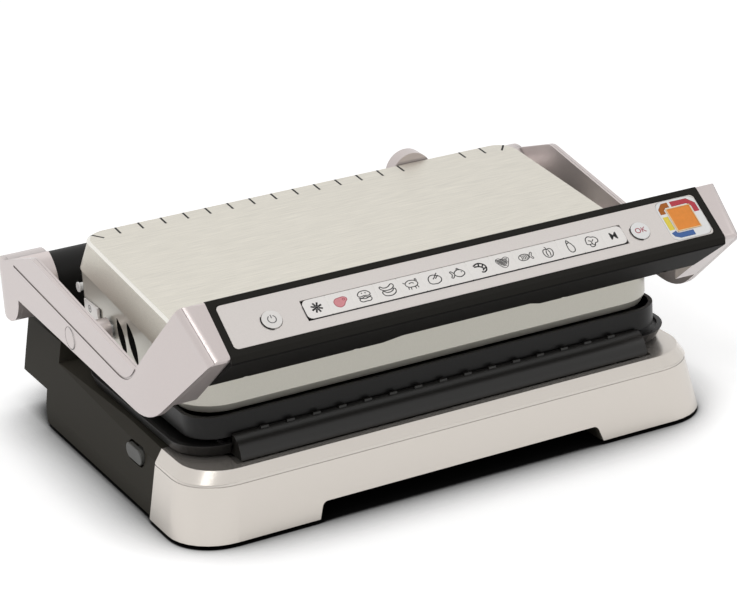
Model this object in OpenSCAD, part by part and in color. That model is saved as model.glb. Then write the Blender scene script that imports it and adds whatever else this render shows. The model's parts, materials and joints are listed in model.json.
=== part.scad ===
// Electric indoor grill with a hinged lid, for a countertop.
// X is the width, Y runs from the control bar to the hinge, Z is up, and the feet stand on Z = 0.

/* [Overall] */
// how far the foot of the base reaches past the upper plate at each side
side_margin = 25; // [23:0.5:27]
// height of the deck round the lower plate
deck_h = 55; // [53:0.5:58]
// height of the hinge axis above the deck
hinge_rise = 56; // [54:1:58]
// distance from the plates back to the hinge axis
hinge_reach = 77; // [74:1:80]
// how far the control bar reaches past the front of the base
bar_overhang = 49; // [46:1:52]

/* [Plates] */
// width of the upper cooking plate
plate_w = 393; // [389:1:395]
// depth of the upper cooking plate
plate_d = 200; // [197:1:203]
// gap between the closed plates
plate_gap = 3; // [2.8:0.1:3.6]
// spacing of the ribs of both plates
rib_pitch = 12.5; // [11:0.5:15]
// width of one rib at its foot
rib_w = 4.5; // [3.5:0.5:5.5]

/* [Base] */
// radius of the two front corners, seen from above
base_corner_r = 38; // [34:1:42]
// wall thickness of the mouldings
wall = 3; // [2.6:0.1:3.2]
// width of the cut-out under the front
cutout_w = 238; // [220:2:250]
// height of the cut-out under the front
cutout_h = 12.3; // [11:0.1:13.5]
// height of the rubber feet
foot_h = 2; // [1.5:0.1:2.4]
// depth of the tray bay in front of the lower plate
tray_room = 26; // [25:0.5:28]
// radius of the rounded apron of the drip tray
apron_r = 16.5; // [15.5:0.5:17]

/* [Lid] */
// height of the rear edge of the lid above the upper plate
lid_rise = 94; // [92:0.5:97]
// fall of the lid towards the front, in degrees
lid_slope = 6.7; // [6.2:0.1:7]
// how far each side band of the steel top leans out
band_lean = 7.5; // [6:0.5:9]
// thickness of the steel sheet
sheet = 1.2; // [1:0.1:1.4]
// distance from the end of the steel top to the first slot
slot_end = 28.2; // [26:0.2:30]
// width of one slot
slot_w = 1.5; // [1.2:0.1:1.8]

/* [Handle] */
// tilt of the control face
face_tilt = 36.87; // [36:0.1:37.5]
// length of the control face, up its slope
face_l = 47.5; // [46.5:0.5:48.5]
// how much the outer faces of the arms spread from the bar to the elbow, in degrees
arm_flare = 6.8; // [6.4:0.1:7.2]
// thickness of the arms at the control bar
arm_t = 14.5; // [14:0.5:15.5]
// radius of the round pivot caps
cap_r = 8.6; // [8:0.1:8.8]

/* [Controls] */
// room left of the program keys, for the power button
keys_left = 58.7; // [57:0.1:60]
// room right of the program keys, for the ok button and the light
keys_right = 69.3; // [68:0.1:70]
// height of the program keys on the panel
key_h = 15.6; // [14.6:0.2:16]
// radius of the two round buttons
button_r = 7.3; // [6.8:0.1:7.6]
// travel of the keys and buttons
key_travel = 0.8; // [0.6:0.1:0.9]

/* [Hidden] */
$fn = 48;

steel = [0.80, 0.78, 0.74];
silver = [0.76, 0.73, 0.72];
black = [0.10, 0.10, 0.10];
tub_brown = [0.22, 0.20, 0.18];
bare_metal = [0.62, 0.62, 0.62];
board_green = [0.10, 0.32, 0.18];
eps = 0.01;
seat = 0.2;
run_fit = 0.05;

// ---- places along the depth
block_reach = 28;
plate_step = 5;
overall_d = block_reach + hinge_reach + plate_d + plate_step + tray_room + bar_overhang;
block_back = overall_d / 2;
hinge_y = block_back - block_reach;
hinge_z = deck_h + hinge_rise;
barrel_r = 21.5;
heel_r = 26;
plate_back = hinge_y - hinge_reach;
upper_front = plate_back - plate_d;
lower_front = upper_front - plate_step;
base_front = lower_front - tray_room;
base_back = plate_back + 54;
base_w = plate_w + 2 * side_margin;
half_foot = base_w / 2;
far = 600;

// ---- heights
side_deck_h = deck_h + 2.2;
lower_rim_low = side_deck_h + 0.3;
lower_top = lower_rim_low + 9;
upper_low = lower_top + plate_gap;
upper_top = upper_low + 16.5;
skirt_low = upper_top + 0.3;
lid_back_z = upper_low + lid_rise;

// ---- widths
upper_half = plate_w / 2;
lower_half = upper_half + 9.5;
head_half = upper_half - 1;
arm_in = head_half + 2.5;
barrel_half = arm_in - 1.2;
bar_half = arm_in - seat;
arm_out = arm_in + arm_t;
plate_corner_r = 35;
notch_half = lower_half - plate_corner_r;
tray_play = 1.5;
tray_half = notch_half - tray_play;

// ---- lid
lid_top_w = 2 * (head_half + 0.5 - band_lean);
slot_pitch = (lid_top_w - 2 * slot_end) / 17;
head_front = upper_front + 4;
lid_back = plate_back + 18;
pivot_y = plate_back - 49.5;
pivot_z = hinge_z - 1.5;
pivot_r = 5;
hinge_pin_r = 7;

// ---- 2D helpers

// arc of radius r that rounds corner q between p and s
function corner_arc(p, q, s, r, n) =
  let (u = (p - q) / norm(p - q), v = (s - q) / norm(s - q), half = acos(u * v) / 2)
  let (c = q + (u + v) / norm(u + v) * r / sin(half), reach = r / tan(half))
  let (a = q + u * reach - c, b = q + v * reach - c, start = atan2(a[1], a[0]))
  let (turn = (atan2(b[1], b[0]) - start + 540) % 360 - 180)
  [for (i = [0 : n]) c + r * [cos(start + turn * i / n), sin(start + turn * i / n)]];

// points along an arc round c, from one angle to another
function arc_points(c, r, from, to, n) =
  [for (i = [0 : n]) let (a = from + (to - from) * i / n) c + r * [cos(a), sin(a)]];

// closed outline through points, each corner rounded by its own radius
function rounded(points, radii, n = 6) =
  let (m = len(points))
  [for (i = [0 : m - 1]) each radii[i] <= 0 ? [points[i]]
    : corner_arc(points[(i + m - 1) % m], points[i], points[(i + 1) % m], radii[i], n)];

module rounded_rect(half, front, back, front_r, back_r) {
  corners = [[-half, front], [half, front], [half, back], [-half, back]];
  polygon(rounded(corners, [front_r, front_r, back_r, back_r], 8));
}

module slot_shape(l, w) {
  square([l - w, w], center = true);
  for (side = [-1, 1]) {
    translate([side * (l - w) / 2, 0]) circle(d = w);
  }
}

// outline of a band of width w along an open path
function ribbon(path, w) =
  let (m = len(path) - 1)
  let (steps = [for (i = [0 : m]) path[min(i + 1, m)] - path[max(i - 1, 0)]])
  let (sides = [for (d = steps) [-d[1], d[0]] / norm(d) * w / 2])
  concat([for (i = [0 : m]) path[i] + sides[i]], [for (i = [m : -1 : 0]) path[i] - sides[i]]);

// slab between two levels that tapers from one rounded outline to another above it
module tapered_slab(low, high, half_low, half_high, front_low, front_high, back_low, back_high,
    front_r, back_r) {
  shrink = (back_high - front_high) / (back_low - front_low);
  middle = (front_high - shrink * front_low) / (1 - shrink);
  translate([0, middle, low]) linear_extrude(high - low, scale = [half_high / half_low, shrink], slices = 1)
    translate([0, -middle]) rounded_rect(half_low, front_low, back_low, front_r, back_r);
}

// stands a YZ outline up and gives it a width along X
module across(x0, x1) {
  translate([x0, 0, 0]) rotate([90, 0, 90]) linear_extrude(x1 - x0) children();
}

// stands an XZ outline up and gives it a depth along Y
module along(y0, y1) {
  translate([0, y1, 0]) rotate([90, 0, 0]) linear_extrude(y1 - y0) children();
}

module both_sides() {
  children();
  mirror([1, 0, 0]) children();
}

// ---- base

side_lean = 0.2;
front_lean = 0.14;
shell_low = 3;
bevel_h = 9;
bevel_in = 5.9;
bevel_front = 2.6;
crease_z = deck_h - bevel_h;
seam_z = crease_z - 2.4;
seam_w = 0.7;
fascia_end = base_front + 71.5;
crease_rise = 2.16;
block_low = 30;
block_top = deck_h + 19;
cavity_half = lower_half - 18;
cavity_front = lower_front + 28;
cavity_back = plate_back - 6;

// silver shell form: leaning walls, then a bevel up to the deck, both inset by g
module fascia_form(g) {
  crease = crease_z - shell_low;
  half = half_foot - g;
  mid = half - side_lean * crease;
  front = base_front + g;
  mid_front = front + front_lean * crease;
  translate([0, 0, shell_low]) linear_extrude(crease, scale = [mid / half, mid_front / front], slices = 1)
    rounded_rect(half, front, base_back, base_corner_r - g, 1);
  translate([0, 0, crease_z])
    linear_extrude(bevel_h - g, slices = 1,
      scale = [(mid - bevel_in) / mid, (mid_front + bevel_front) / mid_front])
    rounded_rect(mid, mid_front, base_back, base_corner_r - 4 - g, 1);
}

module cutout_shape(w, h) {
  polygon(rounded([[-w / 2 - 4, -1], [-w / 2, 3], [-w / 2 + 4, h + 3], [w / 2 - 4, h + 3], [w / 2, 3],
    [w / 2 + 4, -1]], [0, 2, 5, 5, 2, 0]));
}

recess_half = tray_half + 3.7;
recess_front = base_front + 15.5;
recess_floor = deck_h - 3;
rail_top = deck_h + 0.6;

module front_fascia() {
  color(silver) {
    difference() {
      union() {
        difference() {
          fascia_form(0);
          translate([0, 0, -eps]) fascia_form(wall);
        }
        // thicker floor under the tray recess
        translate([-recess_half - wall, recess_front - wall, recess_floor - wall])
          cube([2 * (recess_half + wall), fascia_end - recess_front + wall,
            deck_h - recess_floor + wall - eps]);
      }
      // the dark tub starts here
      translate([-far, fascia_end, -1]) cube([2 * far, far, far]);
      // opening under the plate
      translate([-cavity_half, cavity_front, 0]) cube([2 * cavity_half, far, far]);
      translate([-recess_half, recess_front, recess_floor]) cube([2 * recess_half, far, far]);
      along(-far, 0) cutout_shape(cutout_w, cutout_h);
      translate([0, base_front + 12, 0]) linear_extrude(2 * wall, center = true)
        square([cutout_w, 60], center = true);
      // fine seam under the bevel
      intersection() {
        difference() {
          fascia_form(-1);
          fascia_form(seam_w / 2);
        }
        translate([-far, -far, seam_z]) cube([2 * far, far, seam_w]);
      }
    }
    for (side = [-1, 1]) {
      translate([side * (tray_half - 28) - 2, recess_front + 3, recess_floor - eps])
        cube([4, cavity_front - recess_front - 4, rail_top - recess_floor]);
    }
  }
}

// leaning side walls of the dark tub, inset by g
module side_walls(g, top) {
  half = half_foot - g;
  tall = top - shell_low;
  polygon([[-half, shell_low], [half, shell_low], [half - side_lean * tall, top],
    [-half + side_lean * tall, top]]);
}

module side_roof(g) {
  mid = half_foot - side_lean * (crease_z - shell_low) - g;
  translate([0, fascia_end, crease_z]) rotate([crease_rise, 0, 0]) translate([0, -fascia_end, -crease_z])
    along(fascia_end - 40, base_back + 60)
      polygon([[-mid - bevel_in, -far], [mid + bevel_in, -far], [mid + bevel_in, crease_z - bevel_h],
        [mid - bevel_in, deck_h - g], [-mid + bevel_in, deck_h - g], [-mid - bevel_in, crease_z - bevel_h]]);
}

tub_corner_r = 8;

module tub_middle(g) {
  intersection() {
    along(fascia_end + seat, base_back - g) side_walls(g, 90);
    side_roof(g);
    translate([0, 0, shell_low]) linear_extrude(side_deck_h - g - shell_low)
      rounded_rect(half_foot - g, -far, base_back - g, 1, tub_corner_r - g);
  }
}

// the part of the tub that fills the silver front
module tub_nose(g) {
  intersection() {
    fascia_form(wall + seat + g);
    translate([-far, -far, shell_low]) cube([2 * far, far + fascia_end + seat + 1, far]);
  }
}

module rear_block() {
  intersection() {
    along(base_back - 20, block_back) side_walls(0, 90);
    translate([0, 0, block_low]) linear_extrude(block_top - block_low)
      rounded_rect(half_foot, base_back - 60, block_back, 1, tub_corner_r);
  }
}

release_y = base_front + 105;
release_z = deck_h - 14.3;
release_x = -half_foot + side_lean * (release_z - shell_low);

module release_place() {
  translate([release_x, release_y, release_z]) rotate([0, 90, 0]) rotate([0, 0, 90]) children();
}

inner_low = 6;
cutout_back = 30;
release_travel = 3;
well_depth = 1.6 + release_travel + 0.4;

module base_tub() {
  color(tub_brown) difference() {
    union() {
      tub_middle(0);
      tub_nose(0);
      rear_block();
    }
    // hollow inside, open below for the floor plate
    difference() {
      union() {
        translate([0, 0, -eps]) tub_middle(wall);
        translate([0, 0, -eps]) tub_nose(wall);
        translate([-cavity_half, fascia_end - 2, -eps]) cube([2 * cavity_half, 8, deck_h - 8]);
      }
      // walls round the front cut-out
      translate([-cutout_w / 2 - 9, base_front, -1])
        cube([cutout_w + 18, cutout_back + wall, cutout_h + 2 * wall + 2]);
      // pillars for the floor screws
      for (x = [-1, 1], y = [base_front + 30, base_back - 25]) {
        translate([x * (half_foot - 60), y, 0]) cylinder(r = 5, h = 90);
      }
      // housing of the release button
      release_place() linear_extrude(well_depth + 2.4) slot_shape(37, 20);
    }
    // opening under the plate
    translate([-cavity_half, cavity_front, 20]) cube([2 * cavity_half, cavity_back - cavity_front, 100]);
    // the nose stays below the deck and clear of the tray recess
    translate([-recess_half - wall - seat, base_front, recess_floor - wall - seat])
      cube([2 * (recess_half + wall + seat), fascia_end - base_front + seat, 30]);
    // front cut-out
    along(-far, base_front + cutout_back) cutout_shape(cutout_w - 2, cutout_h);
    // room for the floor plate
    translate([0, 0, shell_low - 5]) linear_extrude(5 + inner_low - shell_low + seat) floor_outline(-seat);
    // release button well
    release_place() translate([0, 0, -4]) linear_extrude(4 + well_depth) slot_shape(32, 15);
    release_place() linear_extrude(20) slot_shape(14, 8);
    base_screw_places() cylinder(r = 1.6, h = 14);
    translate([hinge_x0, hinge_y, block_low]) cylinder(r = 6.5, h = 30, center = true);
  }
}

hinge_x0 = -110;

module floor_outline(g) {
  difference() {
    rounded_rect(half_foot - wall - 1.2 - g, base_front + wall + 1.2 + g, base_back - wall - 1 - g,
      base_corner_r - wall - 1, 4);
    translate([0, base_front])
      square([cutout_w + 20 + 2 * g, 2 * (cutout_back + wall + 1 + g)], center = true);
  }
}

module base_screw_places() {
  for (x = [-1, 1], y = [base_front + 30, base_back - 25]) {
    translate([x * (half_foot - 60), y, foot_h]) children();
  }
}

module bottom_cover() {
  color(black) difference() {
    translate([0, 0, foot_h]) linear_extrude(inner_low - foot_h) floor_outline(0);
    base_screw_places() {
      cylinder(r = 1.9, h = 20, center = true);
      cylinder(r = 3.8, h = 4, center = true);
    }
    for (i = [-6 : 6]) {
      translate([i * 12, 20, 0]) rotate([0, 0, 90]) linear_extrude(20) slot_shape(60, 5);
    }
  }
}

module feet() {
  color(black) for (x = [-1, 1], y = [base_front + 48, base_back - 45]) {
    translate([x * (half_foot - 34), y, 0]) cylinder(r = 11, h = foot_h);
  }
}

module base_screws() {
  color(bare_metal) base_screw_places() {
    translate([0, 0, 0.4]) cylinder(r = 3.5, h = 1.6);
    cylinder(r = 1.5, h = 12);
  }
}

module hinge_housing() {
  color(black) difference() {
    union() {
      translate([0, hinge_y, hinge_z]) rotate([0, 90, 0])
        cylinder(r = barrel_r, h = 2 * barrel_half, center = true);
      translate([-barrel_half, hinge_y - barrel_r, block_top])
        cube([2 * barrel_half, 2 * barrel_r, hinge_z - block_top]);
    }
    for (side = [-1, 1]) {
      translate([side * (arm_in - 20), hinge_y, hinge_z]) rotate([0, 90, 0])
        cylinder(r = hinge_pin_r + run_fit, h = 40, center = true);
    }
  }
}

module hinge_pins() {
  color(bare_metal) for (side = [-1, 1]) {
    translate([side * (arm_in - 8.5), hinge_y, hinge_z]) rotate([0, 90, 0])
      cylinder(r = hinge_pin_r, h = 38, center = true);
  }
}

module cord_inlet() {
  color(black) translate([hinge_x0, hinge_y, block_low]) difference() {
    union() {
      cylinder(r = 6.3, h = 12);
      translate([0, 0, -3]) cylinder(r = 9, h = 3);
    }
    cylinder(r = 3.6, h = 40, center = true);
  }
}

pan_low = deck_h - 20;

// pressed pan with a flange, open at the top
module pan(half, front, back, depth, flange) {
  difference() {
    union() {
      linear_extrude(depth) rounded_rect(half, front, back, 12, 12);
      translate([0, 0, depth - 1]) linear_extrude(1)
        rounded_rect(half + flange, front - flange, back + flange, 14, 14);
    }
    translate([0, 0, 1]) linear_extrude(depth) rounded_rect(half - 1, front + 1, back - 1, 11, 11);
  }
}

module lower_reflector() {
  color(bare_metal) translate([0, 0, pan_low]) pan(cavity_half - 2, cavity_front + 2, cavity_back - 2,
    deck_h - 2 * (wall + seat) - pan_low, 4);
}

// heating tube in two long loops
heater_inset = 24;

module heater(front, back) {
  half = cavity_half - 2 * heater_inset;
  span = (back - front) / 3;
  tube = 3.2;
  for (i = [0 : 3]) {
    translate([0, front + i * span, 0]) rotate([0, 90, 0])
      cylinder(r = tube, h = 2 * half, center = true, $fn = 24);
  }
  for (i = [0 : 2]) {
    side = i == 1 ? -1 : 1;
    translate([side * half, front + (i + 0.5) * span, 0]) rotate([0, 0, side * 90 - 180])
      rotate_extrude(angle = 180, $fn = 32) translate([span / 2, 0]) circle(r = tube, $fn = 24);
  }
}

module lower_heater() {
  color(bare_metal) {
    translate([0, 0, pan_low + 11]) heater(cavity_front + heater_inset, cavity_back - heater_inset);
    // stands that carry the tube
    for (x = [-1, 1], y = [cavity_front + heater_inset, cavity_back - heater_inset]) {
      translate([x * 100 - 1, y - 3, pan_low + 1 + seat / 2]) cube([2, 6, 10]);
    }
  }
}

rim_taper = 3;
rim_taper_front = 4.7;
lug_reach = 120;
plate_floor_z = lower_rim_low + 4.5;
rib_top_gap = 0.5;
clip_inset = 32;

module ribs(front, back, z0, tall) {
  count = floor((upper_half - 14) / rib_pitch);
  for (i = [-count : count]) {
    translate([i * rib_pitch, 0, z0]) along(front, back)
      polygon([[-rib_w / 2, 0], [rib_w / 2, 0], [rib_w / 2 - 1.2, tall], [-rib_w / 2 + 1.2, tall]]);
  }
}

module lower_plate() {
  lip = lower_front + 6;
  color(black) {
    difference() {
      // rim, narrower towards its foot
      tapered_slab(lower_rim_low, lower_top, lower_half - rim_taper, lower_half,
        lower_front + rim_taper_front, lower_front, plate_back - rim_taper, plate_back,
        plate_corner_r - 2, 28);
      // cooking surface
      translate([0, 0, plate_floor_z + 2.5]) linear_extrude(20)
        rounded_rect(lower_half - 4, lower_front + 4, plate_back - 4, plate_corner_r - 4, 26);
      // underside
      translate([0, 0, lower_rim_low - 1]) linear_extrude(plate_floor_z - lower_rim_low + 1)
        rounded_rect(lower_half - rim_taper - 2.6, lower_front + rim_taper_front + 2.6,
          plate_back - rim_taper - 2.6, plate_corner_r - 6, 24);
      // the front opens towards the drip tray
      translate([-notch_half, lower_front - 10, lower_rim_low - 1]) cube([2 * notch_half, 20, 30]);
    }
    // lip that pours into the tray
    translate([-tray_half + 4, lip, plate_floor_z]) cube([2 * tray_half - 8, 8, 1.8]);
    ribs(lower_front + 10, plate_back - 8, plate_floor_z + 2.5 - eps,
      lower_top - rib_top_gap - plate_floor_z - 2.5);
    // lugs for the catches
    for (side = [-1, 1]) {
      translate([side * (lower_half - clip_inset) - 5, plate_back - lug_reach, plate_floor_z - 2])
        cube([10, 24, 2 + eps]);
    }
  }
}

tray_wall = 1.8;
bump_pitch = 20.7;

module drip_tray() {
  front = recess_front + 0.4;
  low = rail_top + seat;
  mid = [front + apron_r, low + seat];
  back = front + 19.5;
  floor_t = 2.2;
  tray_inner_r = apron_r - tray_wall;
  crown = 101;
  rear_top = low + 4;
  apron = arc_points(mid, apron_r, 180, crown, 12);
  inside = arc_points(mid, tray_inner_r, crown, 172, 10);
  rear = [[back - 2, low + floor_t], [back - 2, rear_top], [back, rear_top], [back, low]];
  color(black) {
    across(-tray_half, tray_half) polygon(concat([[front, low]], apron, inside, rear));
    // closed ends
    for (x = [-tray_half, tray_half - 2.5]) {
      across(x, x + 2.5)
        polygon(concat([[front, low]], apron, [[mid[0] - 2, low + 10], [back, rear_top], [back, low]]));
    }
    // nibs on the crown
    for (i = [-7 : 7]) {
      translate([i * bump_pitch - 3, mid[0] - 5.6, mid[1] + apron_r - 1.4]) cube([6, 2, 2.2]);
    }
  }
}

module lower_clips() {
  // catches that hook under the lugs
  x0 = lower_half - clip_inset;
  y0 = plate_back - lug_reach;
  color(bare_metal) for (side = [-1, 1]) {
    translate([side * x0 - 4, y0 + 4, pan_low + 1 + seat]) cube([8, 16, 1.5]);
    translate([side * x0 - 4, y0 + 4, pan_low + 1 + seat])
      cube([8, 1.5, plate_floor_z - 2.2 - pan_low - 1 - seat]);
    translate([side * x0 - 4, y0 + 4, plate_floor_z - 3.7]) cube([8, 10, 1.5]);
  }
}

stem_end = 12;

module plate_release() {
  color(black) release_place() {
    translate([0, 0, -2.4]) linear_extrude(4) slot_shape(28.6, 11.6);
    linear_extrude(stem_end) slot_shape(13, 7);
  }
}

// link that carries the push of the button inwards to the catch
module release_link() {
  color(bare_metal) release_place() {
    translate([-3, -5, stem_end + eps]) cube([6, 10, 1.5]);
    translate([-16, -1.5, stem_end + eps]) cube([32, 3, 1.5]);
    for (side = [-1, 1]) {
      translate([side * 14.5 - 1.5, -1.5, stem_end + eps]) cube([3, 3, 5]);
    }
  }
}

module power_board() {
  color(board_green) {
    translate([-150, -10, 14]) cube([120, 80, 1.6]);
    translate([-140, 0, 15.6 - eps]) cube([22, 26, 12]);
    translate([-104, 8, 15.6 - eps]) cube([16, 30, 10]);
    for (i = [0 : 3]) {
      translate([-76 + i * 11, 50, 15.6 - eps]) cylinder(r = 3.6, h = 9, $fn = 24);
    }
    for (x = [-144, -36], y = [-4, 64]) {
      translate([x, y, inner_low + seat / 2]) cylinder(r = 3, h = 14 - inner_low, $fn = 24);
    }
  }
}

// ---- handle

face_y = base_front - bar_overhang + 39;
face_z = hinge_z + 79.6;

// frame of the control face: y runs up the slope, z points out of it
module on_face() {
  translate([0, face_y, face_z]) rotate([face_tilt, 0, 0]) children();
}

face_low = [face_y - face_l * cos(face_tilt), face_z - face_l * sin(face_tilt)];
elbow = [face_low[0] + 94.9, hinge_z - 23.5];
notch_tip = [face_low[0] + 112.1, hinge_z + 11.1];

heel_from = 103.3;
heel_to = -175.6;

// side view of an arm: front foot, control face, sloping top, round heel on the hinge
module arm_profile() {
  heel = arc_points([hinge_y, hinge_z], heel_r, heel_from, heel_to, 24);
  front = [elbow, [face_low[0] + 2.5, face_low[1] - 3.5], face_low, [face_y, face_z], notch_tip];
  polygon(rounded(concat([[plate_back + 12.5, hinge_z + 43.5]], heel, front),
    concat([22], [for (p = heel) 0], [60, 2, 2, 2.5, 6])));
}

arm_far = hinge_y + heel_r + 4;
arm_near = face_low[0] - 20;

// the outer faces spread quickly up to the elbow, then slowly up to the heel
rear_flare = 0.29 * arm_flare;
knee = [arm_out + (elbow[0] - face_low[0]) * tan(arm_flare), elbow[0]];

function outer_x(y) = knee[0] + (y - knee[1]) * tan(rear_flare);

// outer edge of an arm seen from above, moved in by g, and turned in at the back
function arm_edge(g) =
  let (near = [arm_out - g - 20 * tan(arm_flare), arm_near], bend = knee - [g, 0])
  let (corner = [outer_x(arm_far) - g, arm_far - g])
  concat([near], corner_arc(near, bend, corner, 500, 4),
    corner_arc(bend, corner, [arm_in, arm_far - g], 26 - g, 10));

module arm_plan(g) {
  polygon(concat(arm_edge(g), [[arm_in, arm_far - g], [arm_in, arm_near]]));
}

module arm_solid(g) {
  intersection() {
    across(arm_in, arm_in + 60) arm_profile();
    translate([0, 0, -50]) linear_extrude(400) arm_plan(g);
  }
}

web_t = 2;
heel_land = 3;
boss_r = 9;
block_end = face_y + 28.5;

// room behind the layers of an arm, between its heel, its pivot boss and the block that holds the bar
module arm_room() {
  inner = arm_edge(skin_t + seat + web_t);
  difference() {
    translate([0, 0, -50]) linear_extrude(400)
      polygon(concat(inner, [[arm_in - 1, arm_far], [arm_in - 1, arm_near]]));
    translate([arm_in - 2, hinge_y, hinge_z]) rotate([0, 90, 0]) cylinder(r = heel_r + heel_land, h = 80);
    translate([arm_in - 2, pivot_y, pivot_z]) rotate([0, 90, 0]) cylinder(r = boss_r, h = 80);
    translate([arm_in - 2, arm_near - 1, 0]) cube([80, block_end - arm_near + 1, far]);
  }
}

// outer layer of an arm, d thick
module arm_face_slab(d) {
  intersection() {
    across(arm_in, arm_in + 60) arm_profile();
    translate([0, 0, -50]) linear_extrude(400) intersection() {
      arm_plan(0);
      polygon(ribbon(concat(arm_edge(0), [[arm_in - 5, arm_far]]), 2 * d));
    }
  }
}

// round outer edge of the control face, which follows the spread of the arm
module rounded_face_edge() {
  r = 9;
  turn = atan(cos(face_tilt) * tan(arm_flare));
  lean = atan(sin(face_tilt) * tan(arm_flare));
  inset = r / cos(lean) - r * tan(lean);
  on_face() translate([arm_out, -face_l, 0]) rotate([0, 0, -turn]) difference() {
    translate([-inset, -20, -r * (1 - sin(lean))]) cube([inset + 30, face_l + 40, r + 30]);
    translate([-inset, 0, -r]) rotate([90, 0, 0]) cylinder(r = r, h = 3 * face_l, center = true, $fn = 64);
  }
}

skin_t = 3;

module arm_bores() {
  translate([arm_in - 10, hinge_y, hinge_z]) rotate([0, 90, 0]) cylinder(r = hinge_pin_r + run_fit, h = 22);
  translate([arm_in - 10, pivot_y, pivot_z]) rotate([0, 90, 0]) cylinder(r = pivot_r + run_fit, h = 20);
}

module arm_core() {
  color(silver) difference() {
    arm_solid(skin_t + seat);
    arm_room();
    rounded_face_edge();
    arm_bores();
  }
}

groove_w = 1.9;
groove_start = [hinge_y - 24, hinge_z + 25.9];
groove_turn = [face_low[0] + 125.5, hinge_z - 4.5];

function groove_path() = concat(
  [groove_start],
  corner_arc(groove_start, groove_turn, notch_tip, 34, 8),
  [notch_tip + [-1.5, 1.1]]
);

cap_seat_t = 1.2;

module cap_place() {
  translate([outer_x(pivot_y), pivot_y, pivot_z]) rotate([0, 0, -rear_flare]) rotate([0, 90, 0]) children();
}

module arm_skin() {
  color(silver) difference() {
    arm_face_slab(skin_t);
    rounded_face_edge();
    // long seam groove
    intersection() {
      across(arm_in, arm_in + 60) polygon(ribbon(groove_path(), groove_w));
      arm_face_slab(0.8);
    }
    cap_place() cylinder(r = cap_r + 0.25, h = 2 * cap_seat_t, center = true);
  }
}

module pivot_cap() {
  color(silver) cap_place() translate([0, 0, -cap_seat_t + seat / 2])
    cylinder(r = cap_r, h = cap_seat_t - seat / 2);
}

module left_arm() {
  mirror([1, 0, 0]) arm_core();
}

module right_arm() {
  arm_core();
}

module left_arm_skin() {
  mirror([1, 0, 0]) arm_skin();
}

module right_arm_skin() {
  arm_skin();
}

module left_pivot_cap() {
  mirror([1, 0, 0]) pivot_cap();
}

module right_pivot_cap() {
  pivot_cap();
}

module head_pins() {
  color(bare_metal) both_sides() translate([arm_in - 9, pivot_y, pivot_z]) rotate([0, 90, 0])
    cylinder(r = pivot_r, h = 18);
}

// ---- control bar

part_z = face_low[1] - 4.3;
bar_drop = 31.2;

module bar_profile() {
  polygon(rounded([[face_y, face_z], face_low, [face_low[0] - 0.4, part_z - 1],
    [face_y + 5.5, part_z - bar_drop], [face_y + 14.5, part_z - 23], [face_y + 18.5, part_z + 2],
    [face_y + 4.5, face_z - 3.1]],
    [1.2, 2, 2, 4, 7, 8, 4]));
}

module bar_hollow() {
  polygon(rounded([[face_y + 1, face_z - 8.5], [face_low[0] + 8.8, part_z + 1.8],
    [face_low[0] + 5, part_z - 2], [face_y - 6, part_z - 17], [face_y + 9.5, part_z - 16],
    [face_y + 15.6, part_z + 2], [face_y + 4, face_z - 8.5]],
    [1, 2, 2, 3, 4, 5, 2]));
}

panel_side = 5.6;
panel_top = -5.4;
panel_low = -face_l + 5.7;
panel_half = bar_half - panel_side;
panel_z = -0.4;
panel_t = 1.6;
pocket_z = panel_z - panel_t - 0.1;
strip_w = 2 * panel_half - keys_left - keys_right;
key_pitch = strip_w / 14;
strip_x = (keys_left - keys_right) / 2;
strip_y = (panel_top + panel_low) / 2 - 1.4;
power_x = strip_x - strip_w / 2 - 25;
ok_x = strip_x + strip_w / 2 + 13.3;
button_y = strip_y - 0.8;
light_w = 34;
light_h = panel_top - panel_low - 1.4;
light_x = panel_half - light_w / 2 - 0.4;
light_y = (panel_top + panel_low) / 2 + 0.2;
lens_w = 20;

function key_x(i) = strip_x + (i - 7.5) * key_pitch;

module light_outline(g) {
  polygon(rounded([[-light_w / 2 - g, -light_h / 2 - g], [light_w / 2 + g, -light_h / 2 - g],
    [light_w / 2 + g, light_h / 2 + g], [-light_w / 2 - g, light_h / 2 + g]], [6, 6, 6, 6]));
}

module panel_outline(g) {
  polygon(rounded([[-panel_half - g, panel_low - g], [panel_half + g, panel_low - g],
    [panel_half + g, panel_top + g], [-panel_half - g, panel_top + g]], [3.5, 3.5, 3.5, 3.5]));
}

module bar_top() {
  color(black) difference() {
    intersection() {
      across(-bar_half, bar_half) difference() {
        bar_profile();
        bar_hollow();
      }
      translate([-far, -far, part_z]) cube([2 * far, 2 * far, far]);
    }
    on_face() {
      translate([0, 0, pocket_z]) linear_extrude(10) panel_outline(0.3);
      for (i = [1 : 14]) {
        translate([key_x(i), strip_y, -12]) linear_extrude(20) square([5, 5], center = true);
      }
      for (x = [power_x, ok_x]) {
        translate([x, button_y, -12]) cylinder(r = 3, h = 20);
      }
      translate([light_x, light_y, -12]) linear_extrude(20) square([lens_w - 6, lens_w - 6], center = true);
    }
    bar_screw_places() cylinder(r = 1.3, h = 40);
  }
}

recess_w = 104;
recess_rise = 6.5;

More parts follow.
